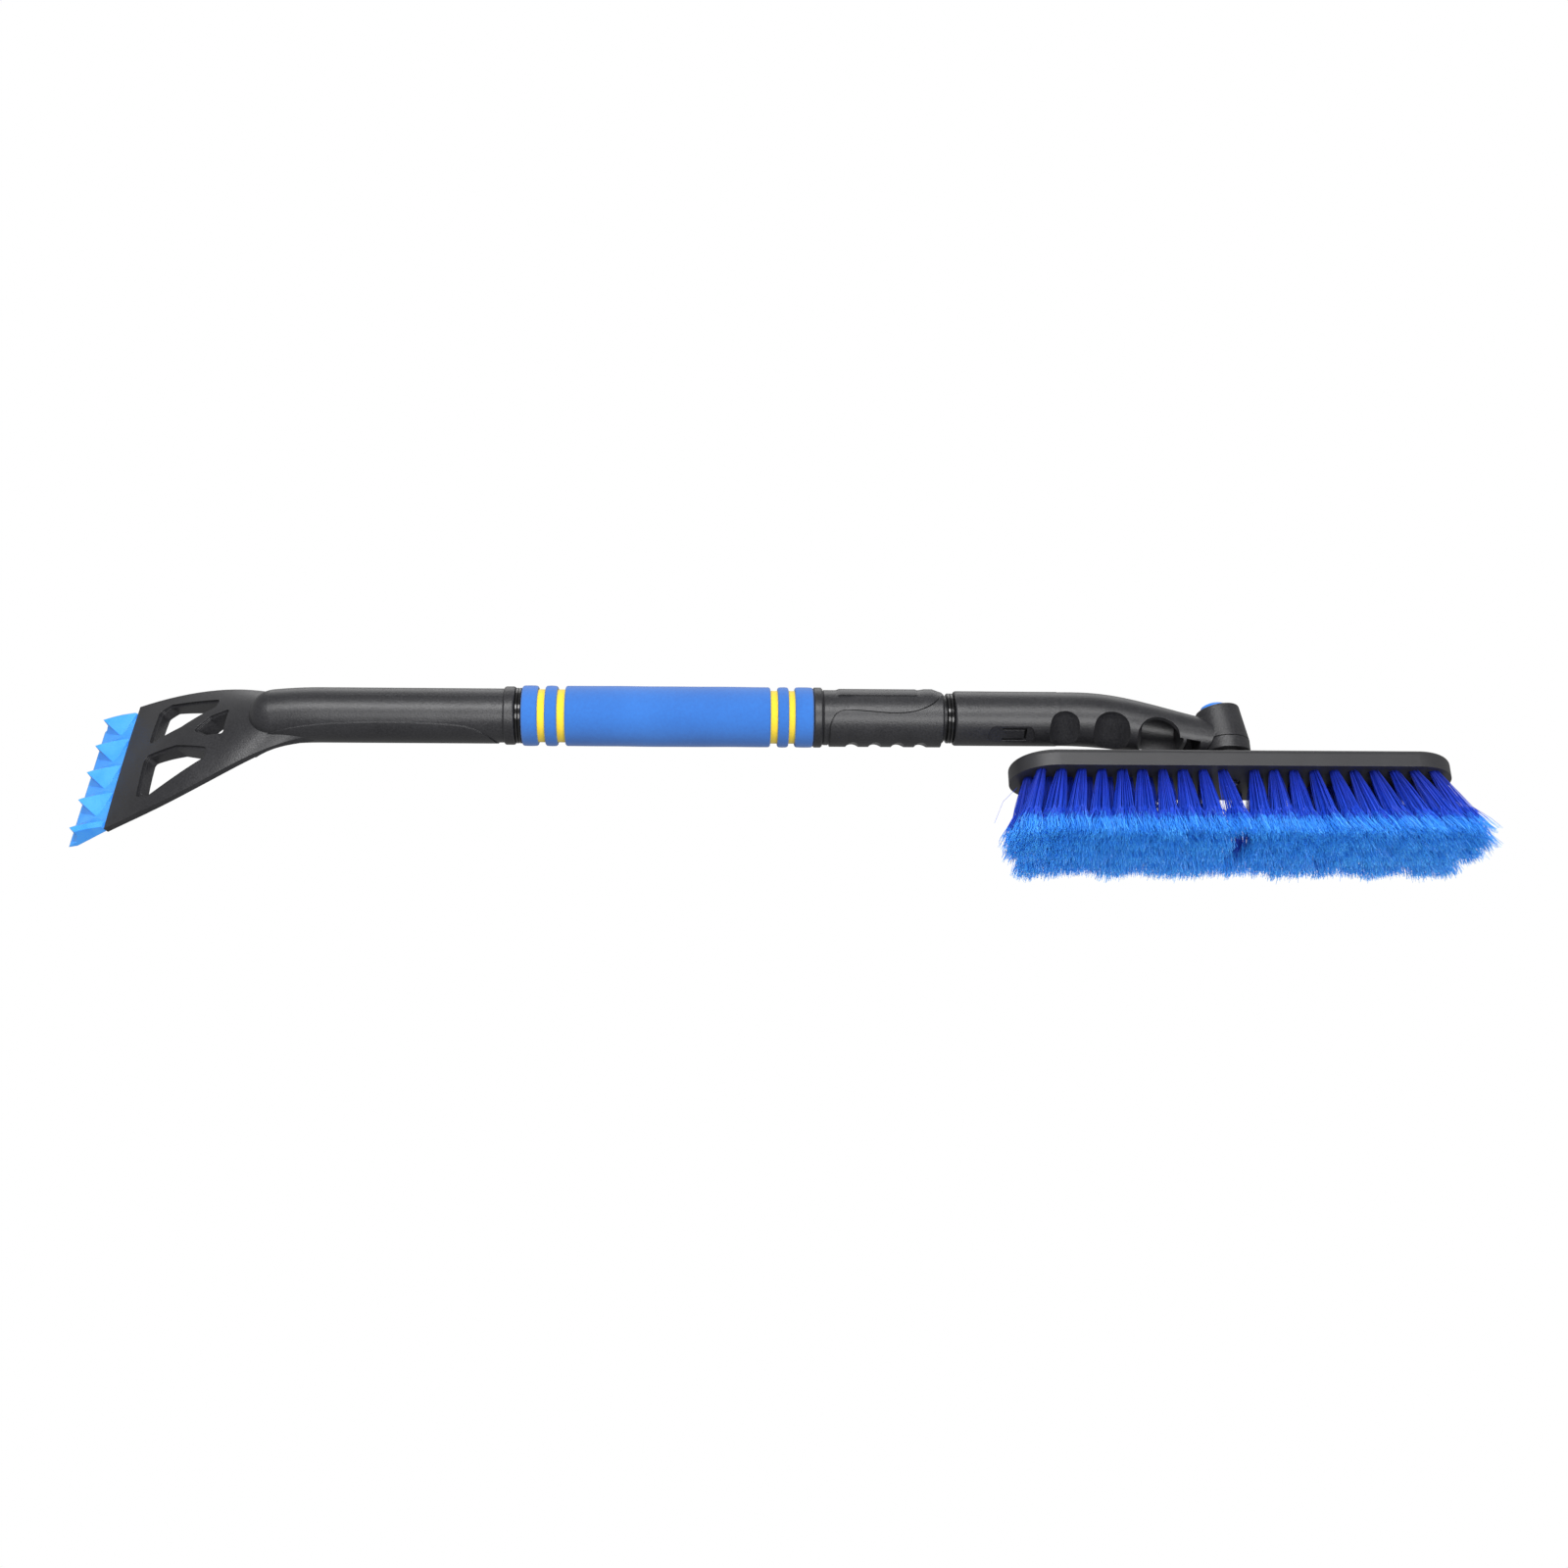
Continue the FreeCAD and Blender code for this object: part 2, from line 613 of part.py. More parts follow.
def expander_ring():
    """Split ring that the twist wedges against the outer tube."""
    x0 = PLUG_X0 + 1.6
    ring_solid = sleeve(x0, x0 + 11, OUTER_TUBE_R - OUTER_TUBE_WALL - RUNNING_GAP, 8.4)
    slit = box(x0 - 1, x0 + 12, -1.0, 1.0, POLE_Z, POLE_Z + 20)
    grooves = [sleeve(x0 + 2 + 3 * i, x0 + 3 + 3 * i, 20, 12.5) for i in range(3)]
    return ring_solid.cut([slit] + grooves)


def lock_plug():
    """Plug in the end of the inner tube, with the eccentric journal that carries the expander."""
    x = INNER_TUBE_X[0]
    spigot = rod(x, x + 18, INNER_TUBE_R - INNER_TUBE_WALL - 0.03)
    shoulder = rod(x - 2.6, x, INNER_TUBE_R - 0.1)
    journal = Part.makeCylinder(7.4, 12.6, V(PLUG_X0 + 1.2, 0, POLE_Z + 0.7), X)
    bolt_hole = rod(PLUG_X0 - 1, PLUG_X0 + 12, PLUG_BOLT_R)
    pin_hole = post(POLE_Z - 13, POLE_Z + 13, 1.52, x + 9)
    return spigot.fuse([shoulder, journal]).cut([bolt_hole, pin_hole])


def plug_pin():
    """Cross pin that holds the plug in the inner tube."""
    return post(POLE_Z - INNER_TUBE_R + 0.1, POLE_Z + INNER_TUBE_R - 0.1, 1.5, INNER_TUBE_X[0] + 9)


def expander_washer():
    return sleeve(PLUG_X0, PLUG_X0 + 1.2, 11.0, 2.1)


def expander_screw():
    head = rod(PLUG_X0 - 2.4, PLUG_X0, 3.6)
    shank = rod(PLUG_X0, PLUG_X0 + 10, PLUG_BOLT_R - 0.02)
    slot = box(PLUG_X0 - 3, PLUG_X0 - 1.4, -4, 4, POLE_Z - 0.4, POLE_Z + 0.4)
    return head.fuse(shank).cut(slot)


def inner_tube():
    x0, x1 = INNER_TUBE_X
    tube = sleeve(x0, x1, INNER_TUBE_R, INNER_TUBE_R - INNER_TUBE_WALL)
    pin_hole = post(POLE_Z - 14, POLE_Z + 14, 1.52, x0 + 9)
    snap_hole = box(-126.5, -120.5, -3, 3, -20, 0)
    snap_hole.rotate(V(0, 0, 0), X, SNAP_ANGLE)
    snap_hole.translate(V(0, 0, POLE_Z))
    return tube.cut([pin_hole, snap_hole])


def bumper_ring():
    """Soft stop on the inner tube, between the lock grip and the arm."""
    x1 = ARM_X0 - 0.2
    x0 = GRIP_X[1] + 1.2
    middle = (x0 + x1) / 2
    outline = [(x0, 13.2), (x0 + 0.7, 14.2), (middle - 0.4, 14.3), (middle, 13.6), (middle + 0.4, 14.3)]
    outline += [(x1 - 0.7, 14.2), (x1, 13.2)]
    return turned(outline).cut(rod(x0 - 1, x1 + 1, INNER_TUBE_R + 0.02))


def arm_stations():
    """Centre height below the pole's axis and radius of the arm where it curves down to the swivel."""
    return [
        (-97.0, 0.0, 15.4),
        (-82.0, -0.2, 15.5),
        (-66.0, -1.7, 15.4),
        (-50.0, -4.4, 14.7),
        (-33.0, -7.6, 13.3),
        (-17.0, -10.4, 11.7),
        (-2.0, -12.4, 10.4),
    ]


def arm_circle(x, drop, r):
    return Part.Wire(Part.makeCircle(r, V(x, 0, POLE_Z + drop), X))


def channel_section(x, drop, r):
    """An arch, open far below: the arm's hollow underside."""
    c = POLE_Z + drop
    left = V(x, -r, c)
    right = V(x, r, c)
    arch = Part.Arc(left, V(x, 0, c + r), right).toShape()
    low_right = V(x, r, c - 40)
    low_left = V(x, -r, c - 40)
    lines = [
        Part.makeLine(right, low_right),
        Part.makeLine(low_right, low_left),
        Part.makeLine(low_left, left),
    ]
    return Part.Wire([arch] + lines)


def boss():
    """The swivel boss, leaning back towards the pole as it rises."""
    tilt = math.radians(BOSS_TILT)
    axis = V(-math.sin(tilt), 0, math.cos(tilt))
    rise = (BOSS_TOP_Z - BOSS_SEAM_Z) / math.cos(tilt)
    below = 6.0
    widen = (BOSS_LOW_R - BOSS_TOP_R) / rise * below
    foot = V(-0.4, 0, BOSS_SEAM_Z) - axis * below
    cone = Part.makeCone(BOSS_LOW_R + widen, BOSS_TOP_R, rise + below, foot, axis)
    rim = max(cone.Edges, key=lambda e: e.BoundBox.ZMax if e.Closed else 0)
    return cone.makeFillet(0.9, [rim]).cut(box(-40, 40, -40, 40, 0, BOSS_SEAM_Z))


def scoop(x, half_width, top):
    """A finger scoop, sunk into the near lower side of the arm and round at its top."""
    angle = math.radians(50.0)
    radius = half_width * 1.12
    distance = 10.4 + radius
    centre = V(x, -distance * math.cos(angle), POLE_Z - distance * math.sin(angle))
    downwards = V(0, math.sin(angle), -math.cos(angle))
    surface_reach = (centre.z - (POLE_Z + top)) / math.cos(angle)
    start = centre + downwards * (surface_reach + radius * 0.62)
    tool = Part.makeCylinder(radius, 40, start, downwards)
    return tool.fuse(Part.makeSphere(radius, start))


def snap_pocket():
    """Oval recess with the U-shaped slot of the snap tongue, which locks the arm to the inner tube."""
    x0, x1, half = -137.5, -111.0, 6.8
    floor = ARM_R - 1.0
    slab = box(x0 + half, x1 - half, -half, half, -30, -floor)
    ends = [Part.makeCylinder(half, 30 - floor, V(x, 0, -30), Z) for x in (x0 + half, x1 - half)]
    pocket = slab.fuse(ends)
    outer = box(-129.5, -115.5, -4.2, 4.2, -30, -ARM_R + 4)
    inner = box(-131.0, -117.0, -2.9, 2.9, -31, -ARM_R + 5)
    tool = pocket.fuse(outer.cut(inner))
    tool.rotate(V(0, 0, 0), X, SNAP_ANGLE)
    tool.translate(V(0, 0, POLE_Z))
    return tool


def snap_nib():
    """Tooth on the tongue's inner side that drops into the inner tube's hole."""
    nib = box(-125.8, -121.2, -2.6, 2.6, -12.9, -11.6)
    nib.rotate(V(0, 0, 0), X, SNAP_ANGLE)
    nib.translate(V(0, 0, POLE_Z))
    return nib


def brush_arm():
    """Socket, curved arm with a hollow underside, and the swivel boss in one moulding."""
    stations = arm_stations()
    socket = rod(ARM_X0, stations[0][0], ARM_R)
    socket = round_rims(socket, 1.5, (ARM_X0,))
    curve = Part.makeLoft([arm_circle(*s) for s in stations], True, False)
    solid = socket.fuse([curve, boss()])
    channel = [channel_section(x, drop, r - ARM_WALL) for x, drop, r in stations if -55 < x < -10]
    hollow = Part.makeLoft(channel, True, False)
    hollow = hollow.cut(post(0, 200, 13.0))
    hollow = hollow.cut(box(-26.9, -25.1, -20, 20, POLE_Z - 18.2, 200))
    solid = solid.cut(hollow)
    solid = solid.cut([scoop(*s) for s in SCOOPS])
    solid = solid.cut([post(30, BOSS_SEAM_Z, 13.9), post(BOSS_SEAM_Z + 3.0, BARREL_TOP_Z, BARREL_R)])
    solid = solid.cut([post(60, 80, HUB_POST_R + RUNNING_GAP), post(BARREL_TOP_Z - 0.2, 99, BUTTON_R + 0.2, BUTTON_X)])
    solid = solid.cut([rod(ARM_X0 - 1, INNER_TUBE_X[1] + 0.5, INNER_TUBE_R + 0.03), snap_pocket()])
    solid = solid.fuse(snap_nib())
    return max(solid.Solids, key=lambda s: s.Volume)


# ---- lock button --------------------------------------------------------------------------------------------

def toothed_disc(z0, z1, r_tip, r_root):
    """A disc whose rim carries square teeth."""
    disc = post(z0, z1, r_root)
    width = 2 * math.pi * r_tip / GEAR_TEETH / 2
    for i in range(GEAR_TEETH):
        bar = box(0, r_tip, -width / 2, width / 2, z0, z1)
        bar.rotate(V(0, 0, 0), Z, 360 / GEAR_TEETH * i)
        disc = disc.fuse(bar)
    return disc.common(post(z0, z1, r_tip))


def lock_gear():
    """Internal tooth ring that the button carries; its teeth look at the hub cap's rim."""
    body = post(GEAR_Z[0], GEAR_Z[1], BARREL_R - RUNNING_GAP)
    return body.cut(toothed_disc(GEAR_Z[0] - 1, GEAR_Z[1] + 1, 7.7, CAP_R + 0.3))


def lock_button():
    """Skirt over the gear, flange, an offset stem through the boss and a domed top."""
    flange_z = CAP_TEETH_Z[1] + BUTTON_TRAVEL + 0.3
    stem_z = BARREL_TOP_Z + BUTTON_TRAVEL
    skirt = ring(GEAR_Z[1], flange_z + 0.5, BARREL_R - RUNNING_GAP, CAP_R + 0.3)
    flange = post(flange_z, flange_z + 2.0, BARREL_R - RUNNING_GAP)
    neck = post(flange_z, stem_z + 0.5, BARREL_R - 0.3).common(post(60, 100, BUTTON_R, BUTTON_X))
    dome_r = 14.0
    stem = post(stem_z, 99, BUTTON_R, BUTTON_X)
    stem = stem.common(Part.makeSphere(dome_r, V(BUTTON_X, 0, BUTTON_TOP_Z - dome_r)))
    solid = flange.fuse([skirt, neck, stem])
    return solid.cut(post(70, SPRING_Z[1], SPRING_R + 0.7))


def button_spring():
    """Compression spring between the hub cap and the button."""
    wire_r = 0.35
    z0, z1 = SPRING_Z
    path = Part.makeHelix(1.7, z1 - z0 - 2 * wire_r, SPRING_R)
    path.translate(V(0, 0, z0 + wire_r))
    circle = Part.Wire(Part.makeCircle(wire_r, V(SPRING_R, 0, z0 + wire_r), Y))
    return Part.Wire(path).makePipeShell([circle], True, True)


# ---- brush head ---------------------------------------------------------------------------------------------

def stadium(length, width, z0, z1):
    half = length / 2 - width / 2
    solid = box(-half, half, -width / 2, width / 2, z0, z1)
    return solid.fuse([post(z0, z1, width / 2, x) for x in (-half, half)]).removeSplitter()


def tuft_places():
    """Centres of the tuft holes on the board's underside."""
    places = []
    for side in (-1, 1):
        for row, y in enumerate(TUFT_ROWS):
            outer = row in (0, len(TUFT_ROWS) - 1)
            offset = TUFT_FIRST if outer else TUFT_FIRST + TUFT_PITCH / 2
            for i in range(TUFTS_PER_BANK):
                places.append((side * (offset + i * TUFT_PITCH), y))
    return places


def brush_board():
    """Tuft board with a spigot for the swivel hub."""
    z0, z1 = BOARD_Z
    plate = stadium(BOARD_LENGTH, BOARD_WIDTH, z0, z1)
    rim = [e for e in plate.Edges if abs(e.BoundBox.ZMin - z1) < 0.01 and abs(e.BoundBox.ZMax - z1) < 0.01]
    plate = plate.makeFillet(BOARD_TOP_ROUND, rim)
    spigot = post(z1 - 1, HUB_Z[0], 9.5)
    solid = plate.fuse(spigot)
    holes = [post(z0 - 1, z0 + TUFT_HOLE_DEPTH, TUFT_R, x, y) for x, y in tuft_places()]
    solid = solid.cut(Part.makeCompound(holes))
    pegs = [post(HUB_Z[0] - 4, HUB_Z[0] + 1, 1.55, 0, y) for y in (-6, 6)]
    return solid.cut([post(z0 - 1, 80, 2.15), post(z0 - 1, z0 + 2.4, 5.6)] + pegs)


def tuft_staples():
    """Wire staples that anchor each tuft in its hole."""
    z = BOARD_Z[0] + TUFT_HOLE_DEPTH - 1.4
    return Part.makeCompound([box(x - 1.5, x + 1.5, y - 0.15, y + 0.15, z, z + 1.2) for x, y in tuft_places()])


def bed_outline(far, half, z):
    """An oblong with cut-off corners around the tufts at one height."""
    corner = half * 0.55
    quarter = [(far, half - corner), (far - corner, half)]
    upper = quarter + [(-x, y) for x, y in quarter[::-1]]
    points = [V(x, y, z) for x, y in upper + [(x, -y) for x, y in upper[::-1]]]
    return Part.makePolygon(points + points[:1])


def bristle_bed():
    """The soft mass of all tufts, from the board to the flat working face, parted in the middle near the board."""
    root = bed_outline(BOARD_LENGTH / 2 - 8.0, 19.5, BOARD_Z[0])
    face = bed_outline(FACE_HALF_LENGTH, FACE_HALF_WIDTH, 0.0)
    bed = Part.makeLoft([root, face], True, True)
    top = BOARD_Z[0] + 1
    parting = prism([V(-4.5, -50, top), V(4.5, -50, top), V(0, -50, 14)], Y * 100)
    return bed.cut(parting)


def swivel_hub():
    """Hub ring under the boss, with the post that turns in the boss floor."""
    ring_part = post(HUB_Z[0], HUB_Z[1], 13.4)
    ring_part = round_rims(ring_part, 0.8, (HUB_Z[0],), "z")
    pegs = [post(HUB_Z[0] - 3.8, HUB_Z[0] + 1, 1.5, 0, y) for y in (-6, 6)]
    solid = ring_part.fuse([post(HUB_Z[1] - 1, 72.4, HUB_POST_R)] + pegs)
    return solid.cut(post(50, 80, 2.15))


def hub_cap():
    """Toothed cap that is clamped on the post and holds the boss between itself and the hub."""
    neck = post(72.4, CAP_TEETH_Z[0], 5.8)
    teeth = toothed_disc(CAP_TEETH_Z[0], CAP_TEETH_Z[1], CAP_R, CAP_R - 0.9)
    return neck.fuse(teeth).cut(post(60, 76.2, 2.0))


def pivot_screw():
    z0 = BOARD_Z[0]
    head = post(z0 - 1.0, z0 + 1.4, 3.9)
    head = round_rims(head, 0.7, (z0 - 1.0,), "z")
    shank = post(z0 + 1.4, 76.0, 1.98)
    cross = box(-2.4, 2.4, -0.45, 0.45, z0 - 2, z0 + 0.3).fuse(box(-0.45, 0.45, -2.4, 2.4, z0 - 2, z0 + 0.3))
    return head.fuse(shank).cut(cross)


def pivot_washer():
    return ring(BOARD_Z[0] + 1.4, BOARD_Z[0] + 2.4, 5.4, 2.2)


# ---- output -------------------------------------------------------------------------------------------------

def main():
    os.makedirs("parts", exist_ok=True)
    save("scraper_handle", scraper_handle())
    save("scraper_blade", scraper_blade())
    save("handle_screw", handle_screw())
    save("outer_tube", outer_tube())
    save("outer_tube_plug", outer_tube_plug())
    save("foam_stop_ring", foam_stop_ring())
    save("foam_core", foam_core())
    save("foam_main_grip", foam_band(MAIN_FOAM))
    save("foam_rear_wide_band", foam_band(REAR_BANDS[0]))
    save("foam_rear_slim_band", foam_band(REAR_BANDS[1]))
    save("foam_front_wide_band", foam_band(FRONT_BANDS[0]))
    save("foam_front_slim_band", foam_band(FRONT_BANDS[1]))
    save("lock_grip", lock_grip())
    save("grip_screw", grip_screw())
    save("guide_bush", guide_bush())
    save("expander_ring", expander_ring())
    save("lock_plug", lock_plug())
    save("plug_pin", plug_pin())
    save("expander_washer", expander_washer())
    save("expander_screw", expander_screw())
    save("inner_tube", inner_tube())
    save("bumper_ring", bumper_ring())
    save("brush_arm", brush_arm())
    save("lock_gear", lock_gear())
    save("lock_button", lock_button())
    save("button_spring", button_spring())
    save("brush_board", brush_board())
    save("tuft_staples", tuft_staples())
    save("bristle_bed", bristle_bed())
    save("swivel_hub", swivel_hub())
    save("hub_cap", hub_cap())
    save("pivot_screw", pivot_screw())
    save("pivot_washer", pivot_washer())


main()
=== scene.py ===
"""Visual model of a telescopic snow brush with an ice scraper.

Adds the bristles, the foam skins, the finishes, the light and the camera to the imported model.
Everything is in metres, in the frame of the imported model.
"""

import json
import math
import random

import bpy
from mathutils import Matrix, Vector


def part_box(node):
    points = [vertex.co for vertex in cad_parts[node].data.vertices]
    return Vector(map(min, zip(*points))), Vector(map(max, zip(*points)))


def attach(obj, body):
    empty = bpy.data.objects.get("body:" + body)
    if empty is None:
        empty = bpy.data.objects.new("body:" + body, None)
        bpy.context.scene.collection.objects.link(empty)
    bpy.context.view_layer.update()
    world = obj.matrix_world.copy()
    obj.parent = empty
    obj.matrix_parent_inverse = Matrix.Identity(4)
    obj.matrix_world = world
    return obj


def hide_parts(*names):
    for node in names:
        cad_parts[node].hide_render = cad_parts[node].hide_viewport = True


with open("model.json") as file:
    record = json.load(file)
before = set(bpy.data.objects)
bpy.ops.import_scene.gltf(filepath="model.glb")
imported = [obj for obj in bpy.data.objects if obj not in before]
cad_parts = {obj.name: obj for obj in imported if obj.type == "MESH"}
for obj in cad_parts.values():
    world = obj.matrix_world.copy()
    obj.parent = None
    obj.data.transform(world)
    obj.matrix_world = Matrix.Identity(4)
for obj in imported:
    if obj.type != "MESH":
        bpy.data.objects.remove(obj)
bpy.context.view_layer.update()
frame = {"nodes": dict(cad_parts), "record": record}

MM = 0.001
SEED = 11

# ---- foam measures -------------------------------------------------------------------------------

POLE_Z = 84.0 * MM
FOAM_SEGMENTS = 128
FOAM_WAVE = 0.07 * MM          # how uneven the foam's skin is
FOAM_CROWN = 0.10 * MM         # how far the middle of a foam piece stands proud of its ends
FOAM_ROUND = 1.3 * MM          # radius of the foam's rims
FOAM_INNER_GAP = 0.03 * MM     # between the yellow core and the blue pieces on it
FOAM_STATIONS = 6              # rings along a band
GRIP_STATIONS = 40             # rings along the main grip
CORE_STATIONS = 60             # rings along the core
CORE_WALL = 1.0 * MM
CORE_TUBE_GAP = 0.05 * MM
CORE_ROUND = 0.3 * MM
CORE_WAVE = 0.02 * MM
RIM_STEPS = 6                  # facets round a rim, a quarter of a turn

# ---- bristle measures ----------------------------------------------------------------------------

TUFT_PITCH = 11.2 * MM
TUFT_FIRST = 9.0 * MM
TUFTS_PER_BANK = 10
TUFT_ROWS = (-16.5 * MM, -5.5 * MM, 5.5 * MM, 16.5 * MM)
TUFT_R = 2.15 * MM
TUFT_LENGTH = 44.6 * MM        # board's underside to the working face
ROOT_DEPTH = 3.0 * MM          # how far the filaments start inside their holes
FILAMENTS = 108                # per tuft
FILAMENT_R = 0.16 * MM
STRANDS = 3                    # split ends of each filament
STRAND_R = 0.16 * MM
SPLIT_AT = 0.64                # share of the length where the filament splits
STRAND_SPREAD = 0.24           # how far the strands fan, as a share of their length
STRAND_KNEE = 0.13             # how far a strand bends out, as a share of its length
KNEE_AT = (0.45, 0.75)         # where along a strand it bends
STRAND_END_Z = (-0.5 * MM, 1.6 * MM)    # ends of the strands, from the filament's own tip
TAPER = 0.7                    # a strand's end, as a share of its radius
SHAFT_TAPER = 0.95
# Radii of a tuft at the working face, along the board and across it.
TIP_SPREAD = (8.6 * MM, 10.6 * MM)
TIP_ORDER = 0.8                # how much of a filament's place at the tip comes from its place in the hole
TIP_RAGGED = 1.0 * MM          # how uneven the filaments of one tuft are in length
TUFT_RAGGED = 2.2 * MM         # how uneven the tufts are in length
TUFT_JITTER = 0.6 * MM         # how far a tuft's middle strays from its place at the working face
BOW = (-0.2 * MM, 0.9 * MM)    # how far a filament bows outwards
# How far the last tuft of a bank leans outwards along the board, in the near row and in the far row.
END_LEAN = {"rear": (17.0 * MM, 4.0 * MM), "front": (20.0 * MM, 23.0 * MM)}
LEAN_EXTRA = 2.0 * MM
LEAN_POWER = 1.1               # how fast the lean grows along the bank
INNER_LEAN = 3.0 * MM          # how far the first tuft of a bank leans towards the other bank
# How far a row leans outwards across the board, as a share of its distance: near side, far side.
SIDE_LEAN = (0.76, 0.96)

STRAY_R = 0.10 * MM
# Single loose filaments, by bank and row, as points in millimetres.
STRAYS = {
    ("front", 0): [
        [(13, -24, 17), (22, -26.5, 19), (30, -27, 24), (33, -26.5, 28)],
        [(80, -26, 16), (86, -27.5, 20), (91, -27, 25)],
    ],
    ("rear", 1): [
        [(-124, -12, 36), (-133, -16, 26), (-139, -19, 12)],
    ],
}

random.seed(SEED)


# ---- material helpers ----------------------------------------------------------------------------

def new_material(name):
    """A material with a Principled shader, its node tree and that shader."""
    material = bpy.data.materials.new(name)
    material.use_nodes = True
    tree = material.node_tree
    shader = tree.nodes["Principled BSDF"]
    return material, tree, shader


def place_texture(tree):
    """Coordinates that stay with the piece, in metres."""
    return tree.nodes.new("ShaderNodeTexCoord").outputs["Object"]


def noise(tree, where, scale, detail=2.0, roughness=0.5):
    node = tree.nodes.new("ShaderNodeTexNoise")
    node.inputs["Scale"].default_value = scale
    node.inputs["Detail"].default_value = detail
    node.inputs["Roughness"].default_value = roughness
    tree.links.new(where, node.inputs["Vector"])
    return node.outputs["Fac"]


def voronoi(tree, where, scale):
    node = tree.nodes.new("ShaderNodeTexVoronoi")
    node.inputs["Scale"].default_value = scale
    tree.links.new(where, node.inputs["Vector"])
    return node.outputs["Distance"]


def ramp(tree, value, stops):
    """Colours by value; stops are (position, colour)."""
    node = tree.nodes.new("ShaderNodeValToRGB")
    elements = node.color_ramp.elements
    while len(elements) < len(stops):
        elements.new(0.5)
    for element, (position, colour) in zip(elements, stops):
        element.position = position
        element.color = (*colour, 1.0)
    tree.links.new(value, node.inputs["Fac"])
    return node.outputs["Color"]


def scaled(tree, value, low, high):
    """Maps a 0 to 1 value to the range from low to high."""
    node = tree.nodes.new("ShaderNodeMapRange")
    node.inputs["To Min"].default_value = low
    node.inputs["To Max"].default_value = high
    tree.links.new(value, node.inputs["Value"])
    return node.outputs["Result"]


def bump(tree, shader, heights, edge_round=0.0):
    """Chains bumps, each (height, strength, depth in metres), on top of softened edges."""
    normal = None
    if edge_round:
        bevel = tree.nodes.new("ShaderNodeBevel")
        bevel.samples = 4
        bevel.inputs["Radius"].default_value = edge_round
        normal = bevel.outputs["Normal"]
    for height, strength, depth in heights:
        node = tree.nodes.new("ShaderNodeBump")
        node.inputs["Strength"].default_value = strength
        node.inputs["Distance"].default_value = depth
        tree.links.new(height, node.inputs["Height"])
        if normal is not None:
            tree.links.new(normal, node.inputs["Normal"])
        normal = node.outputs["Normal"]
    if normal is not None:
        tree.links.new(normal, shader.inputs["Normal"])


# ---- finishes ------------------------------------------------------------------------------------

def grained_plastic(name, dark, light, roughness, grain, depth, edge_round):
    """Moulded plastic with a spark-eroded grain; grain is its scale, the last two are lengths."""
    material, tree, shader = new_material(name)
    where = place_texture(tree)
    fine = noise(tree, where, scale=grain, detail=2.0, roughness=0.6)
    broad = noise(tree, where, scale=42.0, detail=3.0)
    tone = tree.nodes.new("ShaderNodeMath")
    tone.operation = "MULTIPLY_ADD"
    tone.inputs[1].default_value = 0.35
    tree.links.new(broad, tone.inputs[0])
    tree.links.new(scaled(tree, fine, 0.0, 0.65), tone.inputs[2])
    colours = [(0.3, dark), (0.7, light)]
    tree.links.new(ramp(tree, tone.outputs["Value"], colours), shader.inputs["Base Color"])
    tree.links.new(scaled(tree, fine, roughness - 0.10, roughness + 0.12), shader.inputs["Roughness"])
    bump(tree, shader, [(fine, 0.55, depth), (broad, 0.10, 0.15 * MM)], edge_round)
    return material


def blade_plastic():
    """Glossy azure plastic with faint flow marks and fine scratches."""
    material, tree, shader = new_material("blue_blade")
    where = place_texture(tree)
    flow = noise(tree, where, scale=60.0, detail=4.0)
    fine = noise(tree, where, scale=900.0, detail=2.0)
    colours = [(0.3, (0.045, 0.310, 0.92)), (0.7, (0.080, 0.400, 1.0))]
    tree.links.new(ramp(tree, flow, colours), shader.inputs["Base Color"])
    tree.links.new(scaled(tree, fine, 0.24, 0.36), shader.inputs["Roughness"])
    shader.inputs["Subsurface Weight"].default_value = 0.12
    shader.inputs["Subsurface Radius"].default_value = (0.001, 0.002, 0.004)
    shader.inputs["Subsurface Scale"].default_value = 1.0
    bump(tree, shader, [(flow, 0.12, 0.2 * MM), (fine, 0.08, 0.02 * MM)], 0.35 * MM)
    return material


def button_plastic():
    material, tree, shader = new_material("blue_button")
    where = place_texture(tree)
    fine = noise(tree, where, scale=1400.0, detail=2.0)
    colours = [(0.3, (0.02, 0.20, 0.78)), (0.7, (0.04, 0.27, 0.90))]
    tree.links.new(ramp(tree, fine, colours), shader.inputs["Base Color"])
    tree.links.new(scaled(tree, fine, 0.28, 0.40), shader.inputs["Roughness"])
    bump(tree, shader, [(fine, 0.15, 0.03 * MM)], 0.3 * MM)
    return material


def gloss_ring():
    """Glossy black moulded ring."""
    material, tree, shader = new_material("gloss_black")
    where = place_texture(tree)
    smear = noise(tree, where, scale=220.0, detail=3.0)
    colours = [(0.3, (0.004, 0.004, 0.004)), (0.7, (0.010, 0.010, 0.011))]
    tree.links.new(ramp(tree, smear, colours), shader.inputs["Base Color"])
    tree.links.new(scaled(tree, smear, 0.10, 0.20), shader.inputs["Roughness"])
    bump(tree, shader, [(smear, 0.05, 0.05 * MM)], 0.15 * MM)
    return material


def anodised_tube():
    """Black anodised aluminium with faint drawing lines along the tube."""
    material, tree, shader = new_material("black_tube")
    where = place_texture(tree)
    stretch = tree.nodes.new("ShaderNodeMapping")
    stretch.inputs["Scale"].default_value = (0.02, 1.0, 1.0)
    tree.links.new(where, stretch.inputs["Vector"])
    lines = noise(tree, stretch.outputs["Vector"], scale=2600.0, detail=2.0)
    colours = [(0.3, (0.012, 0.012, 0.013)), (0.7, (0.030, 0.030, 0.032))]
    tree.links.new(ramp(tree, lines, colours), shader.inputs["Base Color"])
    tree.links.new(scaled(tree, lines, 0.30, 0.44), shader.inputs["Roughness"])
    shader.inputs["Metallic"].default_value = 0.6
    bump(tree, shader, [(lines, 0.12, 0.02 * MM)])
    return material


